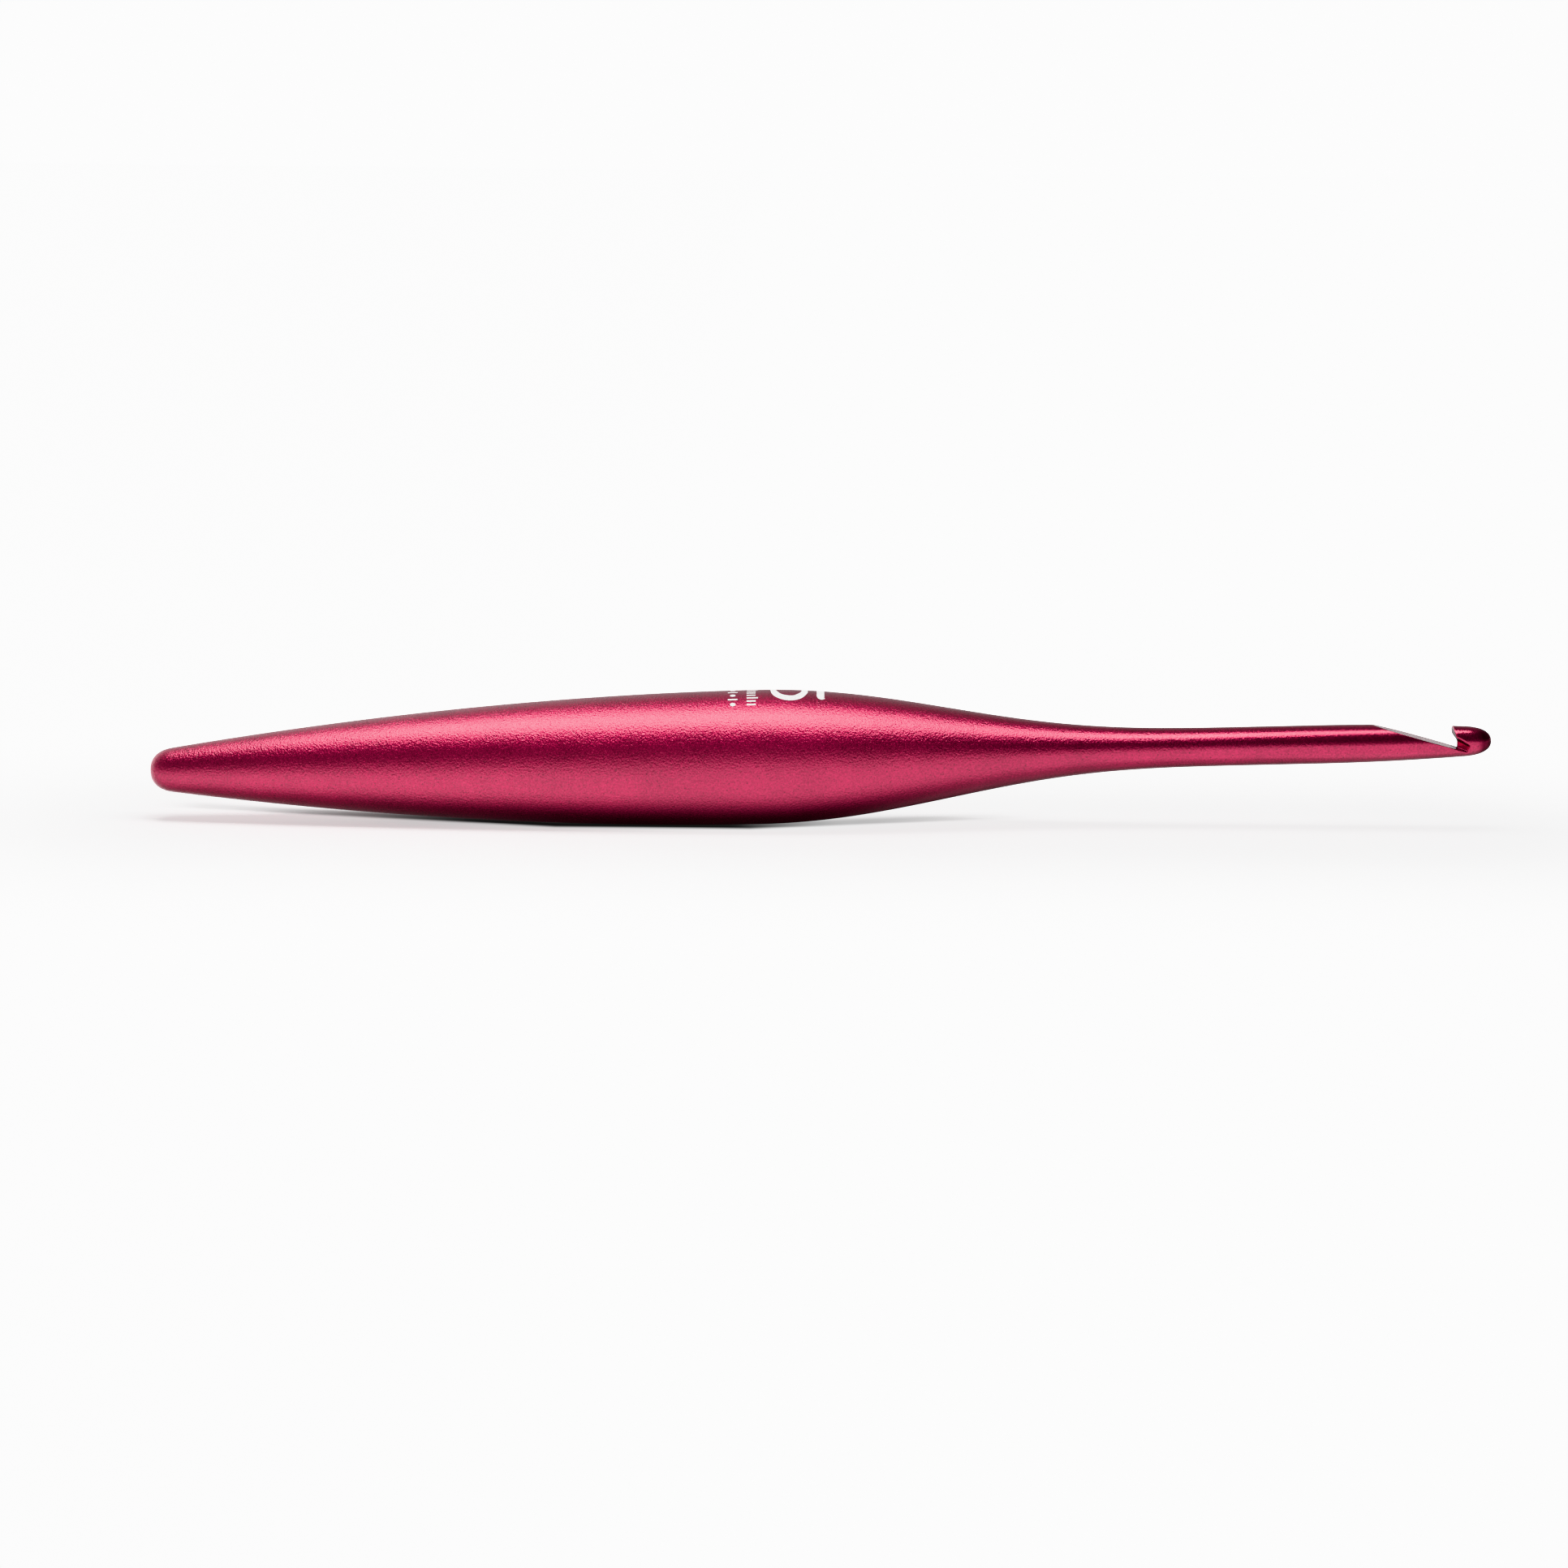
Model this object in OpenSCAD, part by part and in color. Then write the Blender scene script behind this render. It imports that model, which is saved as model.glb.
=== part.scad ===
// Ergonomic crochet hook, turned and milled from one solid aluminium bar.
// The long axis runs along X, butt at -X and hook tip at +X. The throat of
// the hook opens upwards (+Z). The origin is under the middle of the length,
// on the plane that the widest part of the grip touches.

/* [Overall] */
// Length from the butt to the tip of the hook
hook_len = 172.4; // [160:0.2:190]
// Smoothness of the turned surfaces
turn_fn = 96; // [48:8:160]

/* [Grip] */
// Largest diameter of the grip
grip_d = 17.3; // [14:0.1:20]
// Distance from the butt to the largest diameter
grip_s = 78; // [70:1:86]
// Diameter that the back taper would reach at the butt
butt_d = 4.9; // [4:0.1:7]
// Length of the rounded butt end
butt_round = 3; // [1.5:0.5:5]
// Fullness of the rounded butt end, 2 is a plain ellipse
butt_full = 2.6; // [2:0.1:3.2]
// Shape of the back taper, 1 is a straight cone
back_shape = 1.9; // [1.6:0.05:2.2]

/* [Neck] */
// Distance from the butt to where the neck curve runs out
neck_s = 145; // [141:1:149]
// How long the grip stays full before it falls away to the neck
neck_hold = 2.1; // [2:0.05:2.6]
// How steeply the grip falls away to the neck
neck_fall = 4.7; // [4:0.1:6]

/* [Shaft] */
// Shaft diameter, which is the size of the hook
shaft_d = 5; // [4:0.25:5.5]
// Distance from the butt to the start of the straight shaft
shaft_s = 138; // [136:1:140]
// Distance from the butt to the end of the straight shaft
taper_s = 150; // [146:1:152]
// Taper of the hook end, as drop per square of its length
taper_k = 0.0015; // [0.0008:0.0001:0.0018]

/* [Hook head] */
// Length of the rounded nose
nose_len = 3.4; // [3:0.1:4.5]
// Fullness of the rounded nose, 2 is a plain ellipse
nose_full = 2.4; // [2:0.1:3]
// Distance from the tip back to the start of the bevel
bevel_back = 15.2; // [13:0.2:18]
// Slope of the bevel, in degrees
bevel_deg = 16.8; // [15:0.2:18]
// Distance from the tip back to the deepest point of the throat
throat_back = 4.4; // [4.2:0.1:5]
// Height of the deepest point of the throat over the axis
throat_z = 0.3; // [0.1:0.1:0.6]
// Lean of the throat's back wall over the throat, in degrees
lip_deg = 18; // [10:1:24]
// Angle of the side reliefs to the axis, seen from above
side_deg = 47; // [40:1:55]
// Fall of the side reliefs' roots towards the sides, in degrees
side_fall = 17; // [8:1:18]
// Slope of the undercut roof of the side reliefs, in degrees
roof_deg = 31; // [30:1:45]

/* [Hidden] */
hook_red = [0.68, 0.10, 0.25];

grip_r = grip_d / 2;
butt_r = butt_d / 2;
shaft_r = shaft_d / 2;
nose_s = hook_len - nose_len;
bevel_s = hook_len - bevel_back;
throat_s = hook_len - throat_back;
big = 24;

// Radius of each stretch at a distance s from the butt
function cap(s) = s >= butt_round ? 1
    : pow(1 - pow((butt_round - s) / butt_round, butt_full), 1 / butt_full);
function back_r(s) = grip_r - (grip_r - butt_r) * pow(1 - s / grip_s, back_shape);
function neck_r(s) = shaft_r + (grip_r - shaft_r)
    * pow(1 - pow((s - grip_s) / (neck_s - grip_s), neck_hold), neck_fall);
function taper_r(s) = shaft_r - taper_k * pow(s - taper_s, 2);
function nose_r(s) = (taper_r(nose_s) - 2 * taper_k * (nose_s - taper_s) * (s - nose_s))
    * pow(max(0, 1 - pow((s - nose_s) / nose_len, nose_full)), 1 / nose_full);

// Outline as [radius, distance from the butt], from butt to tip
function outline() = concat(
    [[0, 0]],
    [for (i = [1 : 12]) let (s = butt_round * pow(i / 12, 2.4)) [back_r(s) * cap(s), s]],
    [for (i = [1 : 37]) let (s = butt_round + (grip_s - butt_round) * i / 37) [back_r(s), s]],
    [for (i = [1 : 39]) let (s = grip_s + (shaft_s - 0.5 - grip_s) * i / 39) [neck_r(s), s]],
    [[shaft_r, shaft_s], [shaft_r, taper_s]],
    [for (i = [1 : 8]) let (s = taper_s + (nose_s - taper_s) * i / 8) [taper_r(s), s]],
    [for (i = [1 : 11]) let (s = hook_len - nose_len * pow(1 - i / 12, 2.4)) [nose_r(s), s]],
    [[0, hook_len]]
);

// The half of space on the side that the direction n points to, through p
module half_space(p, n) {
    translate(p)
        rotate([0, acos(n[2] / norm(n)), atan2(n[1], n[0])])
            translate([-big / 2, -big / 2, 0]) cube(big);
}

// The turned bar before the hook end is milled
module turned_bar() {
    rotate([0, 90, 0]) rotate_extrude($fn = turn_fn) polygon(outline());
}

// Everything above the bevel, whose plane runs on through the nose
module above_bevel() {
    front_s = hook_len + 2;
    translate([0, 4, 0]) rotate([90, 0, 0]) linear_extrude(8)
        polygon([
            [bevel_s - 2, taper_r(bevel_s) + tan(bevel_deg) * 2],
            [front_s, taper_r(bevel_s) - tan(bevel_deg) * (front_s - bevel_s)],
            [front_s, 4],
            [bevel_s - 2, 4]
        ]);
}

// Throat, cut straight across, with its back wall leaning over it
module throat_cut() {
    translate([0, 5, 0]) rotate([90, 0, 0]) linear_extrude(10)
        polygon([
            [bevel_s - 3, -4],
            [throat_s, -4],
            [throat_s, throat_z],
            [throat_s - tan(lip_deg) * (5 - throat_z), 5],
            [bevel_s - 3, 5]
        ]);
}

// Relief that runs forwards and down from the throat, out of one side
module side_relief(side) {
    root = [throat_s, 0, throat_z];
    // level direction of the relief, and its falling root line
    run = [cos(side_deg), side * sin(side_deg), 0];
    fall = [run[0], run[1], -tan(side_fall)];
    across = [-run[1] * side, run[0] * side, 0];
    // line in the roof, rising away from the root line towards the handle
    rise = [-abs(across[0]), across[1], tan(roof_deg)];
    roof = cross(fall, rise) * (cross(fall, rise)[2] > 0 ? -1 : 1);
    wall = [-abs(across[0]), across[1], 0];
    intersection() {
        half_space(root, wall);
        half_space(root, roof);
        translate([throat_s - 3, side > 0 ? 0 : -4, -4]) cube([8, 4, 8]);
    }
}

// Grip, neck, shaft and the milled ramp under the throat
module handle_and_shaft() {
    color(hook_red)
    translate([-hook_len / 2, 0, grip_r])
    difference() {
        turned_bar();
        above_bevel();
    }
}

// Lip and nose of the hook, in front of the throat. It is the same piece of
// metal as the handle and shaft, parted from them along the bevel's plane.
module hook_head() {
    color(hook_red)
    translate([-hook_len / 2, 0, grip_r])
    difference() {
        intersection() {
            turned_bar();
            above_bevel();
        }
        throat_cut();
        side_relief(1);
        side_relief(-1);
    }
}

handle_and_shaft();
hook_head();
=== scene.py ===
"""Looks of the crochet hook: one unbroken anodised skin, a white size mark on top of the grip, a pale floor with
painted shade under the hook, soft studio light and the camera.
"""

import math

import bpy
import numpy as np
from mathutils import Matrix, Vector


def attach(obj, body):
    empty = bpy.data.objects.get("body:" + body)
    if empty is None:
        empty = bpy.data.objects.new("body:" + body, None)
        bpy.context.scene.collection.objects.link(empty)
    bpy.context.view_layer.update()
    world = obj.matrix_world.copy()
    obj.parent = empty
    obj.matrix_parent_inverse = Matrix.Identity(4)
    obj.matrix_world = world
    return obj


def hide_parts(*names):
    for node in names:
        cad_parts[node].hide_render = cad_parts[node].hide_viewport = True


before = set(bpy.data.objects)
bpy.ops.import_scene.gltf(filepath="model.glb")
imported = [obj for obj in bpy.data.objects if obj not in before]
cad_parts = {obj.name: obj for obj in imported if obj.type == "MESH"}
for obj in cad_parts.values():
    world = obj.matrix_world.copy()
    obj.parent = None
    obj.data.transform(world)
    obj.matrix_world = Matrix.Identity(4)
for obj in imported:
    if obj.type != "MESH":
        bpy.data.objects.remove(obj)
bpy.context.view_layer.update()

# ---------------------------------------------------------------- outline
# Millimetres, the same formulas as the CAD source. s runs from the butt to
# the tip, r is the radius, z is the height over the axis.
LEN, GRIP_R, GRIP_S, BUTT_R = 172.4, 8.65, 78.0, 2.45
BUTT_ROUND, BUTT_FULL, BACK = 3.0, 2.6, 1.9
NECK_S, HOLD, FALL = 145.0, 2.1, 4.7
SHAFT_R, SHAFT_S, TAPER_S, TAPER_K = 2.5, 138.0, 150.0, 0.0015
NOSE, NOSE_FULL = 3.4, 2.4
NOSE_S = LEN - NOSE
BEVEL_S, BEVEL = 157.2, math.radians(16.8)
THROAT_S, THROAT_Z = 168.0, 0.3
SIDE, SIDE_FALL, ROOF = math.radians(47), math.radians(17), math.radians(31)
JOIN_S = 155.9  # the turned skin meets the milled end's skin here

MM = 0.001
X0 = -LEN / 2
Z0 = GRIP_R


def radius(s):
    s = np.asarray(s, float)
    cap = np.where(
        s < BUTT_ROUND,
        (1 - np.clip((BUTT_ROUND - s) / BUTT_ROUND, 0, 1) ** BUTT_FULL)
        ** (1 / BUTT_FULL),
        1.0,
    )
    back = GRIP_R - (GRIP_R - BUTT_R) * np.clip(1 - s / GRIP_S, 0, 1) ** BACK
    u = np.clip((s - GRIP_S) / (NECK_S - GRIP_S), 0, 1)
    neck = SHAFT_R + (GRIP_R - SHAFT_R) * (1 - u**HOLD) ** FALL
    r = np.where(s < GRIP_S, back * cap, neck)
    return np.where(s > TAPER_S, SHAFT_R - TAPER_K * (s - TAPER_S) ** 2, r)


def slope(s):
    e = 1e-3
    return (radius(s + e) - radius(s - e)) / (2 * e)


# ---------------------------------------------------------------- milled end
def turned(s, rho):
    """Signed distance, about, to the turned end with its rounded nose."""
    t = np.minimum(s, NOSE_S)
    q = SHAFT_R - TAPER_K * np.maximum(t - TAPER_S, 0) ** 2
    dq = -2 * TAPER_K * np.maximum(t - TAPER_S, 0)
    d = np.maximum(s - NOSE_S, 0)
    q = q + dq * d
    u = d / NOSE
    a = (rho / q) ** NOSE_FULL
    across = NOSE_FULL * a / rho
    along = NOSE_FULL * (u ** (NOSE_FULL - 1) / NOSE - a * dq / q)
    return (a + u**NOSE_FULL - 1) / np.sqrt(across**2 + along**2 + 1e-4)


def both(a, b, r):
    """Intersection of two solids, its outer edge rounded by r."""
    m = np.maximum(a, b)
    return np.minimum(m, -r) + np.hypot(np.maximum(a + r, 0), np.maximum(b + r, 0))


def either(a, b, r):
    """Union of two solids, its inner corner filled with radius r."""
    m = np.minimum(a, b)
    return np.maximum(m, r) - np.hypot(np.maximum(r - a, 0), np.maximum(r - b, 0))


def step(a, b, x):
    t = np.clip((x - a) / (b - a), 0, 1)
    return t * t * (3 - 2 * t)


def field(s, y, z):
    """Signed distance, about, to the milled end: below 0 inside the metal."""
    out = np.maximum(turned(s, np.sqrt(y * y + z * z + 1e-6)), -3.0)
    # above the bevel
    bz = SHAFT_R - TAPER_K * (BEVEL_S - TAPER_S) ** 2
    above = (z - bz + math.tan(BEVEL) * (s - BEVEL_S)) * math.cos(BEVEL)
    # the throat's back wall, which leans over the throat towards the lip
    lift = np.maximum(z + 0.05, 0)
    wall = s - (THROAT_S - 0.60 * (1 - np.exp(-(lift**1.5))))
    throat = both(-above, wall, 0.55)
    # reliefs on both sides, running forwards and down out of the throat
    ya = np.sqrt(y * y + 0.02)
    px, py, pz = s - (THROAT_S - 0.12), ya, z - THROAT_Z
    wx, wy = -math.sin(SIDE), math.cos(SIDE)
    behind = px * wx + py * wy
    f = np.array([math.cos(SIDE), math.sin(SIDE), -math.tan(SIDE_FALL)])
    g = np.array([wx, wy, math.tan(ROOF)])
    n = np.cross(f, g)
    n = n * (-np.sign(n[2]) / np.linalg.norm(n))
    under = px * n[0] + py * n[1] + pz * n[2]
    side = both(both(-behind, -under, 0.18), -above, 0.22)
    cut = either(throat, side, 0.05)
    soft = 0.07 + (0.20 - 0.10 * step(1.2, 1.9, z)) * step(166.6, 168.2, s)
    return both(out, -cut, soft)


def gradient(p, e=0.012):
    s, y, z = p.T
    g = np.stack(
        [
            field(s + e, y, z) - field(s - e, y, z),
            field(s, y + e, z) - field(s, y - e, z),
            field(s, y, z + e) - field(s, y, z - e),
        ],
        1,
    ) / (2 * e)
    return g


def surface_net(h):
    """Quads round the zero of field, open at the start of the milled end."""
    gs = np.arange(JOIN_S + 0.05, LEN + 0.3, h)
    gy = (np.arange(-46, 47) - 0.37) * h if h > 0.055 else (np.arange(-56, 57) - 0.37) * h
    gz = gy
    S, Y, Z = np.meshgrid(gs, gy, gz, indexing="ij")
    v = field(S, Y, Z).astype(np.float32)
    del S, Y, Z
    inside = v < 0
    ni, nj, nk = v.shape
    c = np.zeros((ni - 1, nj - 1, nk - 1), np.int8)
    for a in (0, 1):
        for b in (0, 1):
            for d in (0, 1):
                c += inside[a : ni - 1 + a, b : nj - 1 + b, d : nk - 1 + d]
    cell = (c > 0) & (c < 8)
    ids = -np.ones(cell.shape, np.int64)
    I, J, K = np.nonzero(cell)
    ids[I, J, K] = np.arange(len(I))
    acc = np.zeros((len(I), 3))
    cnt = np.zeros(len(I))
    corners = [(a, b, d) for a in (0, 1) for b in (0, 1) for d in (0, 1)]
    for p in corners:
        for q in corners:
            if sum(q) - sum(p) == 1 and sum(abs(x - y) for x, y in zip(p, q)) == 1:
                va = v[I + p[0], J + p[1], K + p[2]]
                vb = v[I + q[0], J + q[1], K + q[2]]
                x = (va < 0) != (vb < 0)
                t = np.where(x, va / np.where(x, va - vb, 1), 0)
                for axis in range(3):
                    acc[:, axis] += np.where(x, p[axis] + (q[axis] - p[axis]) * t, 0)
                cnt += x
    at = acc / cnt[:, None] + np.stack([I, J, K], 1)
    pts = np.stack(
        [gs[0] + at[:, 0] * h, gy[0] + at[:, 1] * h, gz[0] + at[:, 2] * h], 1
    )
    quads = []
    for axis in range(3):
        lo = [slice(1, -1)] * 3
        lo[axis] = slice(0, -1)
        hi = [slice(1, -1)] * 3
        hi[axis] = slice(1, None)
        a, b = inside[tuple(lo)], inside[tuple(hi)]
        e = np.nonzero(a != b)
        base = [x.copy() for x in e]
        for k in range(3):
            if k != axis:
                base[k] = base[k] + 1
        u, w = (axis + 1) % 3, (axis + 2) % 3
        ring = []
        for du, dw in ((1, 1), (0, 1), (0, 0), (1, 0)):
            q = [x.copy() for x in base]
            q[u] = q[u] - du
            q[w] = q[w] - dw
            ring.append(ids[tuple(q)])
        ring = np.stack(ring, 1)
        flip = ~a[e]
        ring[flip] = ring[flip][:, ::-1]
        quads.append(ring)
    quads = np.concatenate(quads)
    return pts, quads


def open_loop(quads):
    """The vertices of the single open edge, in order."""
    e = np.concatenate([quads[:, [k, (k + 1) % 4]] for k in range(4)])
    key = np.sort(e, 1)
    _, first, count = np.unique(key, axis=0, return_index=True, return_counts=True)
    rim = e[first[count == 1]]
    after = {int(a): int(b) for a, b in rim}
    start = int(rim[0, 0])
    loop = [start]
    while after[loop[-1]] != start:
        loop.append(after[loop[-1]])
    assert len(loop) == len(rim), "the milled end has more than one open edge"
    return loop


def body_mesh():
    n = 128
    # stations of the turned skin
    s = np.concatenate(
        [
            BUTT_ROUND * (np.arange(1, 21) / 20) ** 2.2,
            np.arange(BUTT_ROUND + 0.75, JOIN_S - 0.4, 0.75),
            [JOIN_S],
        ]
    )
    r = radius(s)
    k = slope(s)
    k[0] = 40.0
    th = np.arange(n) * 2 * math.pi / n
    cos, sin = np.cos(th), np.sin(th)
    pts = np.stack(
        [
            np.repeat(s, n),
            (r[:, None] * cos).ravel(),
            (r[:, None] * sin).ravel(),
        ],
        1,
    )
    m = 1 / np.sqrt(1 + k * k)
    nrm = np.stack(
        [np.repeat(-k * m, n), (m[:, None] * cos).ravel(), (m[:, None] * sin).ravel()],
        1,
    )
    faces = []
    for i in range(len(s) - 1):
        a = i * n
        for j in range(n):
            j2 = (j + 1) % n
            faces.append((a + j, a + n + j, a + n + j2, a + j2))
    pole = len(pts)
    pts = np.vstack([pts, [[0, 0, 0]]])
    nrm = np.vstack([nrm, [[-1, 0, 0]]])
    faces += [(pole, j, (j + 1) % n) for j in range(n)]
    # milled end
    hp, hq = surface_net(0.066)
    for _ in range(4):
        g = gradient(hp)
        d = field(*hp.T)
        hp = hp - g * (d / np.maximum((g * g).sum(1), 0.05))[:, None]
    g = gradient(hp)
    hn = g / np.linalg.norm(g, axis=1)[:, None]
    loop = open_loop(hq)
    base = len(pts)
    pts = np.vstack([pts, hp])
    nrm = np.vstack([nrm, hn])
    faces += [tuple(int(v) + base for v in q) for q in hq]
    # strip of triangles between the two skins, from one ring to the other
    la = np.arctan2(hp[loop, 2], hp[loop, 1]) % (2 * math.pi)
    turn = np.sign(np.sum(np.sign((np.diff(la) + math.pi) % (2 * math.pi) - math.pi)))
    if turn < 0:
        loop = loop[::-1]
        la = la[::-1]
    cut = int(np.argmin(la))
    loop, la = loop[cut:] + loop[:cut], np.roll(la, -cut)
    ring = (len(s) - 1) * n
    i = j = 0
    while i < n or j < len(loop):
        ra = th[i + 1] if i + 1 < n else 2 * math.pi + (th[0] if i < n else 9)
        lb = la[j + 1] if j + 1 < len(loop) else 2 * math.pi + (la[0] if j < len(loop) else 9)
        A, B = ring + i % n, base + loop[j % len(loop)]
        if i < n and (ra <= lb or j >= len(loop)):
            faces.append((A, B, ring + (i + 1) % n))
            i += 1
        else:
            faces.append((A, B, base + loop[(j + 1) % len(loop)]))
            j += 1
    me = bpy.data.meshes.new("hook_skin")
    co = pts * MM + np.array([X0, 0, Z0]) * MM
    me.from_pydata(co.tolist(), [], faces)
    me.update()
    bm_fix_normals(me, nrm)
    return me


def bm_fix_normals(me, nrm):
    """Makes all faces look outwards, then gives the skin its exact normals."""
    import bmesh

    bm = bmesh.new()
    bm.from_mesh(me)
    bmesh.ops.recalc_face_normals(bm, faces=bm.faces)
    open_edges = sum(1 for e in bm.edges if not e.is_manifold)
    if bm.calc_volume(signed=True) < 0:
        bmesh.ops.reverse_faces(bm, faces=bm.faces)
    print("skin:", len(bm.verts), "vertices,", len(bm.faces), "faces,", open_edges, "open edges,", round(bm.calc_volume() * 1e9, 1), "mm3")
    bm.to_mesh(me)
    bm.free()
    me.polygons.foreach_set("use_smooth", [True] * len(me.polygons))
    me.normals_split_custom_set_from_vertices(nrm.tolist())


# ---------------------------------------------------------------- materials
def nodes_of(name):
    m = bpy.data.materials.new(name)
    m.use_nodes = True
    return m, m.node_tree, m.node_tree.nodes["Principled BSDF"]


def new(nt, kind, **values):
    node = nt.nodes.new(kind)
    for k, v in values.items():
        setattr(node, k, v)
    return node


def anodised():
    """Bead-blasted aluminium under a clear, dyed oxide layer, with painted shade inside the throat."""
    m, nt, p = nodes_of("anodised_crimson")
    link = nt.links.new
    tc = new(nt, "ShaderNodeTexCoord")
    # where along the hook: 0 at the butt, 1 at the tip
    sep = new(nt, "ShaderNodeSeparateXYZ")
    link(tc.outputs["Object"], sep.inputs[0])
    along = new(nt, "ShaderNodeMapRange")
    along.inputs["From Min"].default_value = X0 * MM
    along.inputs["From Max"].default_value = -X0 * MM
    link(sep.outputs["X"], along.inputs["Value"])

    grain = new(nt, "ShaderNodeTexNoise")
    grain.inputs["Scale"].default_value = 4200.0
    grain.inputs["Detail"].default_value = 3.0
    grain.inputs["Roughness"].default_value = 0.62
    link(tc.outputs["Object"], grain.inputs["Vector"])
    dimple = new(nt, "ShaderNodeTexVoronoi")
    dimple.inputs["Scale"].default_value = 3600.0
    dimple.inputs["Randomness"].default_value = 1.0
    link(tc.outputs["Object"], dimple.inputs["Vector"])
    cloud = new(nt, "ShaderNodeTexNoise")
    cloud.inputs["Scale"].default_value = 160.0
    cloud.inputs["Detail"].default_value = 4.0
    link(tc.outputs["Object"], cloud.inputs["Vector"])

    # dye: a little deeper in the dimples, and faintly uneven
    deep = new(nt, "ShaderNodeValToRGB")
    deep.color_ramp.elements[0].position = 0.36
    deep.color_ramp.elements[0].color = (0.36, 0.009, 0.060, 1)
    deep.color_ramp.elements[1].position = 0.64
    deep.color_ramp.elements[1].color = (0.66, 0.021, 0.115, 1)
    mixed = new(nt, "ShaderNodeMath", operation="MULTIPLY_ADD")
    mixed.inputs[1].default_value = 0.75
    link(grain.outputs["Fac"], mixed.inputs[0])
    half = new(nt, "ShaderNodeMath", operation="MULTIPLY")
    half.inputs[1].default_value = 0.25
    link(cloud.outputs["Fac"], half.inputs[0])
    link(half.outputs[0], mixed.inputs[2])
    link(mixed.outputs[0], deep.inputs["Fac"])
    # tiny dark pits
    pits = new(nt, "ShaderNodeTexVoronoi")
    pits.inputs["Scale"].default_value = 1500.0
    link(tc.outputs["Object"], pits.inputs["Vector"])
    pit = new(nt, "ShaderNodeMapRange", interpolation_type="SMOOTHSTEP")
    pit.inputs["From Min"].default_value = 0.10
    pit.inputs["From Max"].default_value = 0.20
    pit.inputs["To Min"].default_value = 0.55
    pit.inputs["To Max"].default_value = 1.0
    link(pits.outputs["Distance"], pit.inputs["Value"])
    # inside the throat, painted shade darkens the dye: how far from the axis, and past the bevel
    sz = new(nt, "ShaderNodeMath", operation="SUBTRACT")
    sz.inputs[1].default_value = Z0 * MM
    link(sep.outputs["Z"], sz.inputs[0])
    off = new(nt, "ShaderNodeCombineXYZ")
    link(sep.outputs["Y"], off.inputs["Y"])
    link(sz.outputs[0], off.inputs["Z"])
    rho = new(nt, "ShaderNodeVectorMath", operation="LENGTH")
    link(off.outputs[0], rho.inputs[0])
    inner = new(nt, "ShaderNodeMapRange", interpolation_type="SMOOTHSTEP")
    inner.inputs["From Min"].default_value = 0.00150
    inner.inputs["From Max"].default_value = 0.00186
    inner.inputs["To Min"].default_value = 0.74
    inner.inputs["To Max"].default_value = 0.0
    link(rho.outputs["Value"], inner.inputs["Value"])
    past = new(nt, "ShaderNodeMapRange", interpolation_type="SMOOTHSTEP")
    past.inputs["From Min"].default_value = (X0 + 167.0) * MM
    past.inputs["From Max"].default_value = (X0 + 167.7) * MM
    link(sep.outputs["X"], past.inputs["Value"])
    throat_painted_shade = new(nt, "ShaderNodeMath", operation="MULTIPLY")
    link(inner.outputs["Result"], throat_painted_shade.inputs[0])
    link(past.outputs["Result"], throat_painted_shade.inputs[1])
    throat_unshaded = new(nt, "ShaderNodeMath", operation="SUBTRACT")
    throat_unshaded.inputs[0].default_value = 1.0
    link(throat_painted_shade.outputs[0], throat_unshaded.inputs[1])
    amount = new(nt, "ShaderNodeMath", operation="MULTIPLY")
    link(throat_unshaded.outputs[0], amount.inputs[0])
    link(pit.outputs["Result"], amount.inputs[1])
    dye = new(nt, "ShaderNodeVectorMath", operation="SCALE")
    link(deep.outputs["Color"], dye.inputs[0])
    link(amount.outputs[0], dye.inputs["Scale"])
    link(dye.outputs[0], p.inputs["Base Color"])
    p.inputs["Metallic"].default_value = 1.0

    # satin on the grip, smoother from the shaft to the milled end
    rough = new(nt, "ShaderNodeMapRange")
    rough.inputs["From Min"].default_value = 0.45
    rough.inputs["From Max"].default_value = 0.95
    rough.inputs["To Min"].default_value = 0.36
    rough.inputs["To Max"].default_value = 0.23
    link(along.outputs["Result"], rough.inputs["Value"])
    vary = new(nt, "ShaderNodeMath", operation="MULTIPLY_ADD")
    vary.inputs[1].default_value = 0.10
    link(grain.outputs["Fac"], vary.inputs[0])
    link(rough.outputs["Result"], vary.inputs[2])
    low = new(nt, "ShaderNodeMath", operation="SUBTRACT")
    low.inputs[1].default_value = 0.05
    link(vary.outputs[0], low.inputs[0])
    link(low.outputs[0], p.inputs["Roughness"])

    # blasted relief, fading towards the smooth end
    fade = new(nt, "ShaderNodeMapRange")
    fade.inputs["From Min"].default_value = 0.55
    fade.inputs["From Max"].default_value = 0.93
    fade.inputs["To Min"].default_value = 1.0
    fade.inputs["To Max"].default_value = 0.25
    link(along.outputs["Result"], fade.inputs["Value"])
    relief = new(nt, "ShaderNodeMath", operation="MULTIPLY_ADD")
    relief.inputs[1].default_value = 0.35
    link(dimple.outputs["Distance"], relief.inputs[0])
    link(grain.outputs["Fac"], relief.inputs[2])
    bump = new(nt, "ShaderNodeBump")
    bump.inputs["Distance"].default_value = 0.00006
    link(fade.outputs["Result"], bump.inputs["Strength"])
    link(relief.outputs[0], bump.inputs["Height"])
    link(bump.outputs["Normal"], p.inputs["Normal"])
    link(bump.outputs["Normal"], p.inputs["Coat Normal"])

    # the same painted throat shade thins the coat
    link(throat_unshaded.outputs[0], p.inputs["Coat Weight"])
    p.inputs["Coat Roughness"].default_value = 0.20
    p.inputs["Coat IOR"].default_value = 1.66
    return m


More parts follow.
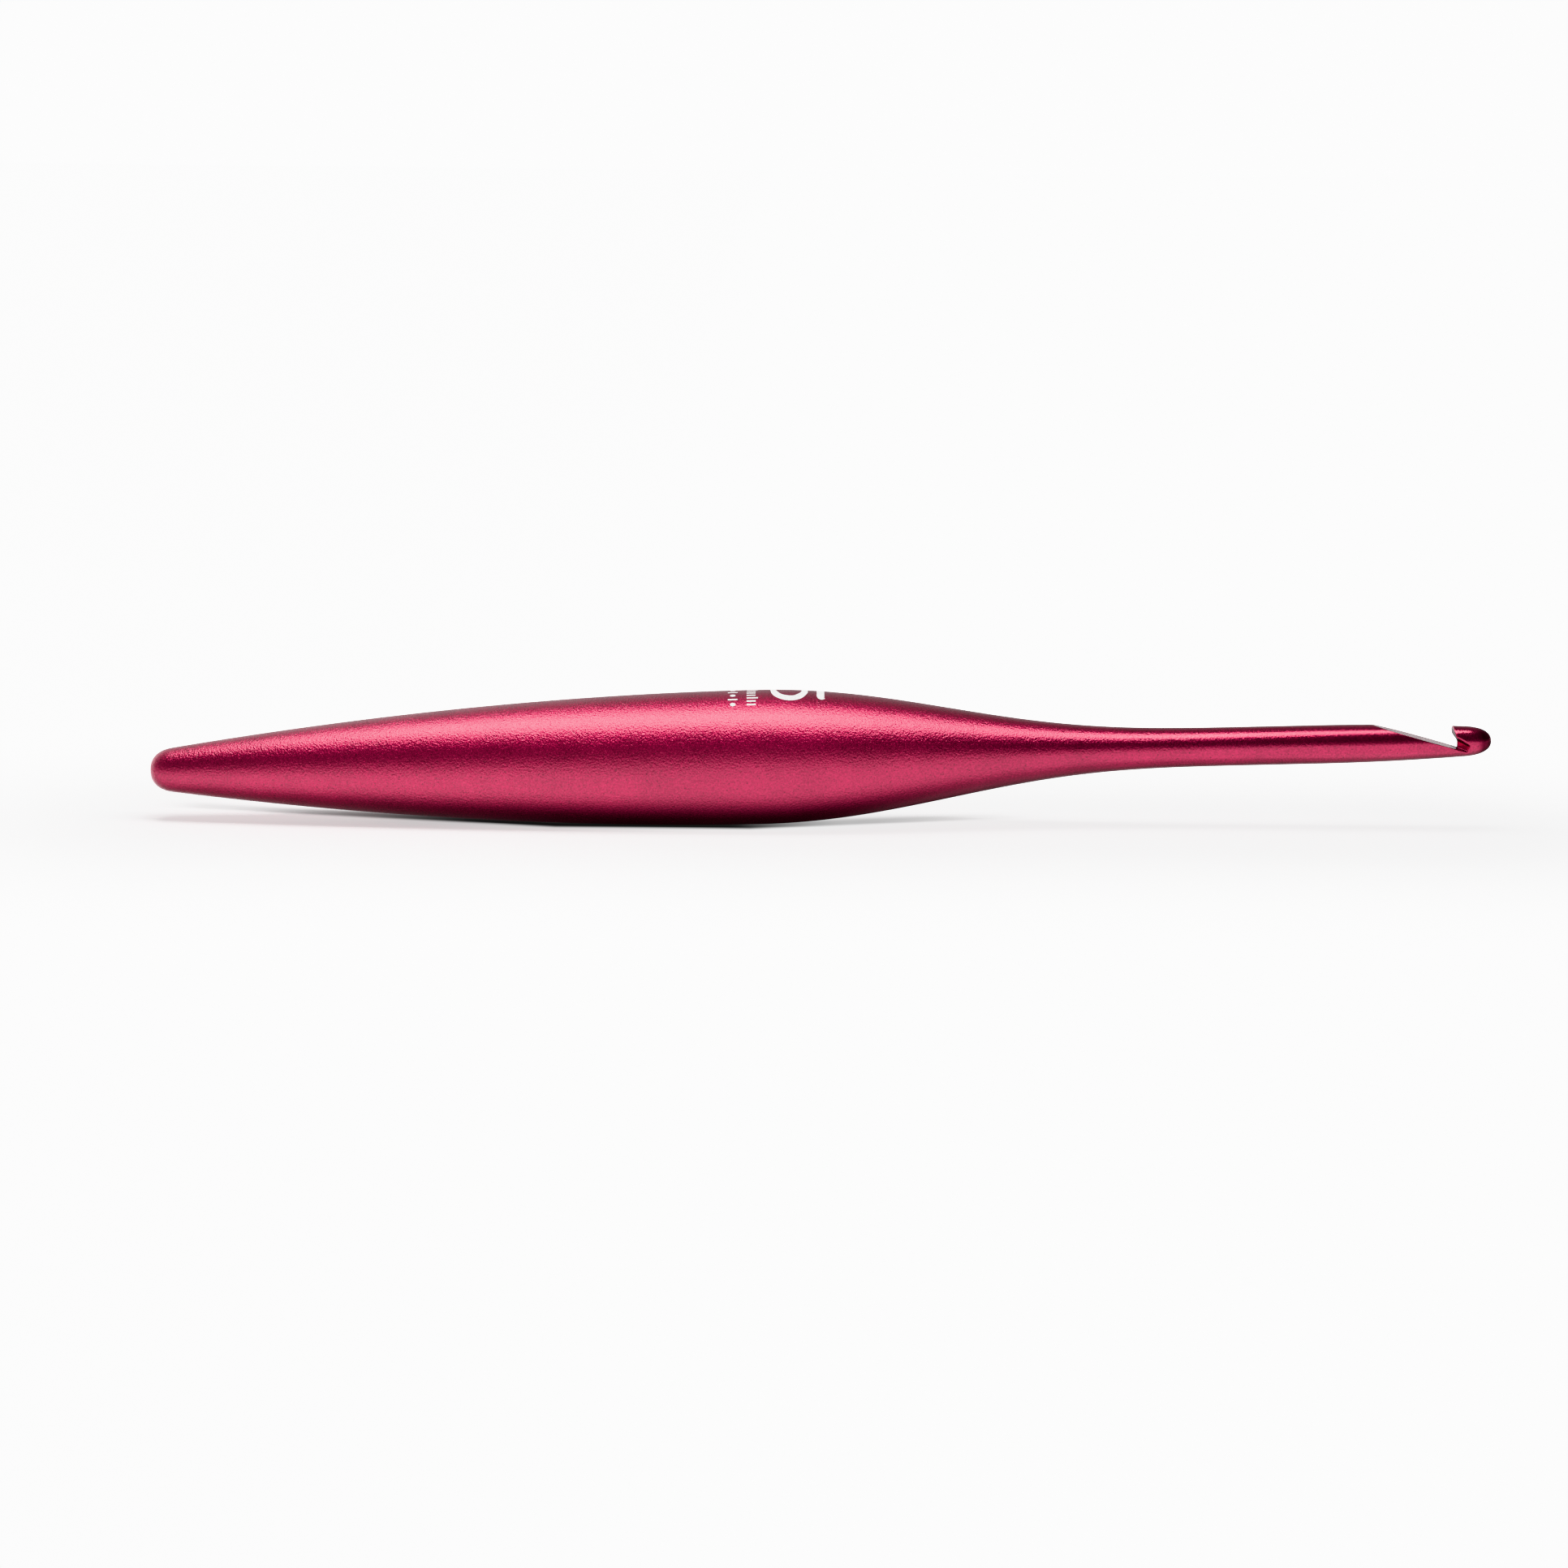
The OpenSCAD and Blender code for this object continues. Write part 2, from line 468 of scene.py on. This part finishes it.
def etched():
    """Bare oxide where the dye has been burnt away: matt, off-white, faintly mottled."""
    m, nt, p = nodes_of("etched_white")
    tc = new(nt, "ShaderNodeTexCoord")
    fleck = new(nt, "ShaderNodeTexNoise")
    fleck.inputs["Scale"].default_value = 5200.0
    fleck.inputs["Detail"].default_value = 2.0
    nt.links.new(tc.outputs["Object"], fleck.inputs["Vector"])
    tone = new(nt, "ShaderNodeValToRGB")
    tone.color_ramp.elements[0].position = 0.32
    tone.color_ramp.elements[0].color = (0.58, 0.58, 0.57, 1)
    tone.color_ramp.elements[1].position = 0.58
    tone.color_ramp.elements[1].color = (0.82, 0.82, 0.81, 1)
    nt.links.new(fleck.outputs["Fac"], tone.inputs["Fac"])
    nt.links.new(tone.outputs["Color"], p.inputs["Base Color"])
    bump = new(nt, "ShaderNodeBump")
    bump.inputs["Distance"].default_value = 0.00002
    bump.inputs["Strength"].default_value = 0.5
    nt.links.new(fleck.outputs["Fac"], bump.inputs["Height"])
    nt.links.new(bump.outputs["Normal"], p.inputs["Normal"])
    p.inputs["Roughness"].default_value = 0.6
    p.inputs["Specular IOR Level"].default_value = 0.3
    return m


# ---------------------------------------------------------------- size mark
# Drawn in millimetres on the unrolled top of the grip: u runs round the grip
# to the right of the reader, v along it, and the tops face the hook's tip.
def smooth_path(points, n=14):
    """Points on a smooth curve through the given ones, as (u, v, half width)."""
    p = np.array(points, float)
    p = np.vstack([2 * p[0] - p[1], p, 2 * p[-1] - p[-2]])
    out = []
    for i in range(1, len(p) - 2):
        a, b, c, d = p[i - 1 : i + 3]
        for t in np.arange(n) / n:
            out.append(
                0.5 * (2 * b + (c - a) * t + (2 * a - 5 * b + 4 * c - d) * t * t + (3 * b - a - 3 * c + d) * t**3)
            )
    out.append(p[-2])
    return np.array(out)


def ribbon(path, across=4, proud=0.010, sunk=0.030):
    """Closed thin strip along the path, wrapped onto the grip."""
    d = np.gradient(path[:, :2], axis=0)
    d /= np.linalg.norm(d, axis=1)[:, None]
    side = np.stack([-d[:, 1], d[:, 0]], 1)
    w = np.linspace(-1, 1, across + 1)
    uv = path[:, None, :2] + side[:, None] * (w[None, :, None] * path[:, None, 2:3])
    uv = uv.reshape(-1, 2)
    verts, faces = [], []
    for lift in (proud, -sunk):
        r = radius(uv[:, 1])
        ang = uv[:, 0] / r
        verts.append(np.stack([uv[:, 1], -(r + lift) * np.sin(ang), (r + lift) * np.cos(ang)], 1))
    k, m = across + 1, len(path)
    low = k * m
    for i in range(m - 1):
        for j in range(across):
            q = (i * k + j, i * k + j + 1, (i + 1) * k + j + 1, (i + 1) * k + j)
            faces.append(q)
            faces.append(tuple(low + x for x in reversed(q)))
        for j, flip in ((0, True), (across, False)):
            q = (i * k + j, (i + 1) * k + j, low + (i + 1) * k + j, low + i * k + j)
            faces.append(q[::-1] if flip else q)
    for i, flip in ((0, False), (m - 1, True)):
        for j in range(across):
            q = (i * k + j, i * k + j + 1, low + i * k + j + 1, low + i * k + j)
            faces.append(q[::-1] if flip else q)
    return np.vstack(verts), faces


def size_mark():
    strips = []
    base = 80.0
    # numeral 5: flag, stem and bowl
    flag = [(2.35, 6.75, 0.16), (2.05, 6.32, 0.46), (0.4, 6.30, 0.48), (-1.75, 6.30, 0.48)]
    stem = [(-1.62, 6.6, 0.30), (-1.80, 5.2, 0.30), (-1.98, 3.55, 0.32)]
    bowl = [
        (-2.05, 3.62, 0.30),
        (-0.75, 4.22, 0.34),
        (0.85, 4.20, 0.44),
        (2.15, 3.35, 0.60),
        (2.42, 2.05, 0.66),
        (1.75, 0.80, 0.56),
        (0.20, 0.28, 0.38),
        (-1.30, 0.45, 0.34),
        (-2.30, 1.10, 0.44),
        (-2.45, 1.55, 0.30),
    ]
    for path in (smooth_path(flag), smooth_path(stem, 8), smooth_path(bowl)):
        path[:, 1] += base
        path[:, 0] = path[:, 0] * 1.2 + 0.1
        strips.append(ribbon(path))
    # a row of fine ticks, every fourth one longer
    for k in range(-6, 7):
        top = 78.30 if k % 4 == 0 else 78.00
        path = np.array([(k * 0.76, v, 0.17) for v in np.linspace(76.85, top, 5)])
        strips.append(ribbon(path, 2))
    # a row of small dots and dashes
    for k in range(-4, 5):
        if k % 2:
            path = np.array([(k * 1.12, v, 0.16) for v in np.linspace(74.45, 75.70, 5)])
            strips.append(ribbon(path, 2))
        else:
            a = np.linspace(-1, 1, 11)
            path = np.array([(k * 1.12 + 0.36 * x, 75.08, max(0.36 * math.sqrt(1 - x * x), 0.02)) for x in a])
            strips.append(ribbon(path, 4))
    me = bpy.data.meshes.new("size_mark")
    verts, faces, n = [], [], 0
    for v, f in strips:
        verts.append(v)
        faces += [tuple(int(x) + n for x in q) for q in f]
        n += len(v)
    co = np.vstack(verts) * MM + np.array([X0, 0, Z0]) * MM
    me.from_pydata(co.tolist(), [], faces)
    me.update()
    import bmesh

    bm = bmesh.new()
    bm.from_mesh(me)
    bmesh.ops.recalc_face_normals(bm, faces=bm.faces)
    print("mark:", len(bm.verts), "vertices,", sum(1 for e in bm.edges if not e.is_manifold), "open edges")
    bm.to_mesh(me)
    bm.free()
    return me


# ---------------------------------------------------------------- the hook
hook = bpy.data.objects.new("hook_body", body_mesh())
bpy.context.scene.collection.objects.link(hook)
hook.data.materials.append(anodised())
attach(hook, "root")
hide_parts("handle_and_shaft", "hook_head")

mark = bpy.data.objects.new("size_mark", size_mark())
bpy.context.scene.collection.objects.link(mark)
mark.data.materials.append(etched())
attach(mark, "root")

# ---------------------------------------------------------------- floor
# The hook lies on its belly, so the floor is the plane that touches it where
# its outline has the slope of its resting tilt.
REST_S = 63.9
rest_r, rest_k = float(radius(REST_S)), float(slope(REST_S))
touch = Vector(((REST_S + X0) * MM, 0, (Z0 - rest_r) * MM))
tilt = math.atan(rest_k)
REST_X = touch.x
floor_me = bpy.data.meshes.new("floor")
size = 12.0
floor_me.from_pydata(
    [(-size, -size, 0), (size, -size, 0), (size, size, 0), (-size, size, 0)],
    [],
    [(0, 1, 2, 3)],
)
floor = bpy.data.objects.new("floor", floor_me)
bpy.context.scene.collection.objects.link(floor)
floor.location = touch - Vector((0, 0, 0.00001))
floor.rotation_euler = (0, tilt, 0)
fm, fnt, fp = nodes_of("pale_floor")
fp.inputs["Roughness"].default_value = 0.9
fp.inputs["Specular IOR Level"].default_value = 0.1


def calc(tree, op, a, b=None):
    n = new(tree, "ShaderNodeMath", operation=op)
    for k, v in enumerate((a, b)):
        if isinstance(v, (int, float)):
            n.inputs[k].default_value = v
        elif v is not None:
            tree.links.new(v, n.inputs[k])
    return n.outputs[0]


def ramp(tree, socket, a, b, lo, hi):
    n = new(tree, "ShaderNodeMapRange", interpolation_type="SMOOTHSTEP")
    n.inputs["From Min"].default_value = a
    n.inputs["From Max"].default_value = b
    n.inputs["To Min"].default_value = lo
    n.inputs["To Max"].default_value = hi
    tree.links.new(socket, n.inputs["Value"])
    return n.outputs["Result"]


# A light sheet, lit from above and glowing: the glow keeps the shadow faint
# and the floor white out to the horizon. It is masked right under the belly.
fx = new(fnt, "ShaderNodeSeparateXYZ")
fnt.links.new(new(fnt, "ShaderNodeTexCoord").outputs["Object"], fx.inputs[0])
px, py = fx.outputs["X"], fx.outputs["Y"]
past = calc(fnt, "MAXIMUM", calc(fnt, "SUBTRACT", calc(fnt, "ABSOLUTE", calc(fnt, "SUBTRACT", px, -REST_X)), 0.075), 0.0)
away = calc(fnt, "SQRT", calc(fnt, "ADD", calc(fnt, "MULTIPLY", past, past), calc(fnt, "MULTIPLY", py, py)))
white_out = ramp(fnt, away, 0.012, 0.075, 0.0, 1.5)
far_glow = ramp(fnt, away, 0.05, 0.25, 0.0, 0.30)
# deep shade under the belly, shallower under the shaft and the butt; the
# camera never looks in there, only the hook's underside reflects it
fseen = new(fnt, "ShaderNodeLightPath").outputs["Is Camera Ray"]
waist = calc(fnt, "DIVIDE", calc(fnt, "SUBTRACT", px, 0.006), 0.094)
waist = calc(fnt, "SQRT", calc(fnt, "MAXIMUM", calc(fnt, "SUBTRACT", 1.0, calc(fnt, "MULTIPLY", waist, waist)), 0.08))
shade = ramp(fnt, calc(fnt, "DIVIDE", calc(fnt, "ABSOLUTE", py), waist), 0.0042, 0.0112, 1.0, 0.0)
depth = calc(fnt, "MULTIPLY", ramp(fnt, px, 0.019, 0.056, 0.97, 0.50), ramp(fnt, px, -0.075, 0.0, 0.42, 1.0))
depth = calc(fnt, "MULTIPLY", depth, ramp(fnt, px, 0.06, 0.11, 1.0, 0.7))
shade = calc(fnt, "MULTIPLY", calc(fnt, "MULTIPLY", shade, depth), calc(fnt, "SUBTRACT", 1.0, fseen))
lit = calc(fnt, "SUBTRACT", 1.0, shade)
# and painted shade: a dim strip behind the neck and shaft, seen only in their lower rim
strip = calc(fnt, "MULTIPLY", ramp(fnt, py, 0.0005, 0.004, 0.0, 1.0), ramp(fnt, py, 0.030, 0.110, 1.0, 0.0))
strip = calc(fnt, "MULTIPLY", strip, ramp(fnt, px, -0.040, 0.005, 0.0, 0.90))
strip = calc(fnt, "MULTIPLY", strip, ramp(fnt, px, 0.030, 0.060, 1.0, 0.74))
strip = calc(fnt, "MULTIPLY", strip, calc(fnt, "SUBTRACT", 1.0, fseen))
lit = calc(fnt, "MULTIPLY", lit, calc(fnt, "SUBTRACT", 1.0, strip))
# painted contact shadow, seen only by the camera: the thin dark line where the belly meets the floor;
# towards both ends it moves to the back of the hook and fades, because the light comes from the front
line = calc(fnt, "MULTIPLY", calc(fnt, "MAXIMUM", calc(fnt, "SUBTRACT", -0.012, px), 0.0), 0.225)
line = calc(fnt, "ADD", line, calc(fnt, "MULTIPLY", calc(fnt, "MAXIMUM", calc(fnt, "SUBTRACT", px, 0.013), 0.0), 0.27))
line = calc(fnt, "SUBTRACT", py, calc(fnt, "SUBTRACT", line, 0.0031))
painted_contact_shadow = calc(fnt, "MULTIPLY", ramp(fnt, line, -0.0010, 0.0013, 0.0, 1.0), ramp(fnt, line, 0.0025, 0.0068, 1.0, 0.0))
painted_contact_shadow = calc(fnt, "MULTIPLY", painted_contact_shadow, calc(fnt, "MULTIPLY", ramp(fnt, px, -0.062, -0.020, 0.35, 0.96), ramp(fnt, px, -0.066, -0.058, 0.0, 1.0)))
painted_contact_shadow = calc(fnt, "MULTIPLY", painted_contact_shadow, calc(fnt, "MULTIPLY", ramp(fnt, px, 0.010, 0.026, 1.0, 0.45), ramp(fnt, px, 0.026, 0.056, 1.0, 0.0)))
bare = calc(fnt, "SUBTRACT", 1.0, calc(fnt, "MULTIPLY", painted_contact_shadow, fseen))
pale = ramp(fnt, px, -0.035, 0.02, 0.70, 0.30)
tint = new(fnt, "ShaderNodeCombineXYZ")
for k in range(3):
    fnt.links.new(calc(fnt, "MULTIPLY", calc(fnt, "MULTIPLY", pale, lit), bare), tint.inputs[k])
fnt.links.new(tint.outputs[0], fp.inputs["Base Color"])
glow = calc(fnt, "SUBTRACT", calc(fnt, "ADD", 1.05, calc(fnt, "MULTIPLY", fseen, 0.09)), calc(fnt, "MULTIPLY", pale, 0.85))
glow = calc(fnt, "MULTIPLY", calc(fnt, "ADD", glow, far_glow), lit)
glow = calc(fnt, "MULTIPLY", calc(fnt, "ADD", glow, calc(fnt, "MULTIPLY", fseen, white_out)), bare)
fp.inputs["Emission Color"].default_value = (1, 1, 1, 1)
fnt.links.new(glow, fp.inputs["Emission Strength"])
floor_me.materials.append(fm)

# ---------------------------------------------------------------- light
up = Vector((math.sin(tilt), 0, math.cos(tilt)))


def strip_light(name, at, w, h, radiance):
    d = bpy.data.lights.new(name, "AREA")
    d.shape = "RECTANGLE"
    d.size, d.size_y = w, h
    d.energy = radiance * math.pi * w * h
    o = bpy.data.objects.new(name, d)
    bpy.context.scene.collection.objects.link(o)
    o.location = at
    o.visible_camera = False


# An overhead bank of strips that touch: it runs level over the shaft, bends
# away over the grip, narrows at both ends and is weaker towards the tip.
STRIPS, STRIP = 11, 0.020
for k in range(STRIPS):
    x = -0.11 + k * STRIP
    mid = -0.0415 + 0.807 * max(0.03 - x, 0) ** 1.4 + 0.30 * max(x - 0.05, 0)
    half = 0.0328 * math.sqrt(1 - abs((x - 0.002) / 0.135) ** 5)
    weak = 1 - 0.55 * min(max((x - 0.05) / 0.04, 0), 1)
    strip_light(f"overhead_strip_{k + 1}", (x, mid, 0.1587), STRIP, 2 * half, 8.6 * weak)
# and a small lamp at the tip's end, which glints on the lip
strip_light("tip_lamp", (0.115, -0.014, 0.1587), 0.020, 0.038, 11.0)

ROOM, BACK_WALL, WINDOW = 0.07, 0.30, 1.4
# The studio: a white backdrop behind, a pale band at the horizon, and a dim
# room in front and overhead.
world = bpy.data.worlds.new("studio")
bpy.context.scene.world = world
world.use_nodes = True
wt = world.node_tree
wt.nodes.clear()
wl = wt.links.new
out = new(wt, "ShaderNodeOutputWorld")
bg = new(wt, "ShaderNodeBackground")
wl(bg.outputs[0], out.inputs["Surface"])
tc = new(wt, "ShaderNodeTexCoord")
sep = new(wt, "ShaderNodeSeparateXYZ")
wl(tc.outputs["Generated"], sep.inputs[0])


def ranged(socket, a, b, lo, hi):
    n = new(wt, "ShaderNodeMapRange", interpolation_type="SMOOTHSTEP")
    n.inputs["From Min"].default_value = a
    n.inputs["From Max"].default_value = b
    n.inputs["To Min"].default_value = lo
    n.inputs["To Max"].default_value = hi
    wl(socket, n.inputs["Value"])
    return n.outputs["Result"]


def math_node(op, a, b):
    n = new(wt, "ShaderNodeMath", operation=op)
    for k, v in enumerate((a, b)):
        if isinstance(v, (int, float)):
            n.inputs[k].default_value = v
        else:
            wl(v, n.inputs[k])
    return n.outputs[0]


# sine of the elevation is Z; Y is 1 straight behind the hook
behind = math_node("MAXIMUM", sep.outputs["Y"], 0.0)
left = math_node("MAXIMUM", math_node("MULTIPLY", sep.outputs["X"], -1.0), 0.0)
corner = math_node("MULTIPLY", math_node("MULTIPLY", behind, left), WINDOW)
room = math_node("ADD", math_node("MULTIPLY", behind, BACK_WALL), ROOM)
room = math_node("ADD", room, math_node("MULTIPLY", left, 0.22))
# the horizon is white, but in front of the hook it is half as bright
white = ranged(sep.outputs["Z"], 0.02, 0.22, 0.62, 0.0)
dim = ranged(sep.outputs["Z"], -0.05, 0.42, 0.74, 0.0)
dim = math_node("MULTIPLY", dim, ranged(sep.outputs["X"], -0.10, 0.30, 1.0, 0.40))
front = ranged(sep.outputs["Y"], -0.35, -0.05, 0.0, 1.0)
band = math_node("ADD", math_node("MULTIPLY", white, front), math_node("MULTIPLY", dim, math_node("SUBTRACT", 1.0, front)))
strength = math_node("MAXIMUM", math_node("ADD", corner, room), band)
# the backdrop itself is evenly lit from behind
seen = new(wt, "ShaderNodeLightPath").outputs["Is Camera Ray"]
strength = math_node("MAXIMUM", strength, math_node("MULTIPLY", seen, 2.85))
wl(strength, bg.inputs["Strength"])
bg.inputs["Color"].default_value = (1, 1, 1, 1)

# ---------------------------------------------------------------- camera
FRAME_PX, PX_MM = 1932.0, 9.58
ELEVATION = math.radians(9.8)
LEAN = math.radians(-1.27)  # the hook's axis in the picture, tip upwards
CENTRE_PX = (1011.5, 930.8)  # where the middle of the hook's length lies
lens = 85.0
dist = lens * FRAME_PX / 36.0 / PX_MM * MM
cam = bpy.data.objects.new("camera", bpy.data.cameras.new("camera"))
bpy.context.scene.collection.objects.link(cam)
cam.data.sensor_width = 36.0
cam.data.lens = lens
cam.data.clip_start, cam.data.clip_end = 0.01, 100.0
view = Vector((0, math.cos(ELEVATION), -math.sin(ELEVATION)))
level = Vector((1, 0, 0))
head = level.cross(view)
right = level * math.cos(LEAN) + head * math.sin(LEAN)
top = head * math.cos(LEAN) - level * math.sin(LEAN)
mid = Vector((0, 0, Z0 * MM))
dx, dy = (CENTRE_PX[0] - FRAME_PX / 2) / PX_MM * MM, (FRAME_PX / 2 - CENTRE_PX[1]) / PX_MM * MM
eye = mid - view * dist - right * dx - top * dy
cam.matrix_world = Matrix(
    (
        (right.x, top.x, -view.x, eye.x),
        (right.y, top.y, -view.y, eye.y),
        (right.z, top.z, -view.z, eye.z),
        (0, 0, 0, 1),
    )
)
bpy.context.scene.camera = cam
bpy.context.scene.view_settings.view_transform = "Khronos PBR Neutral"
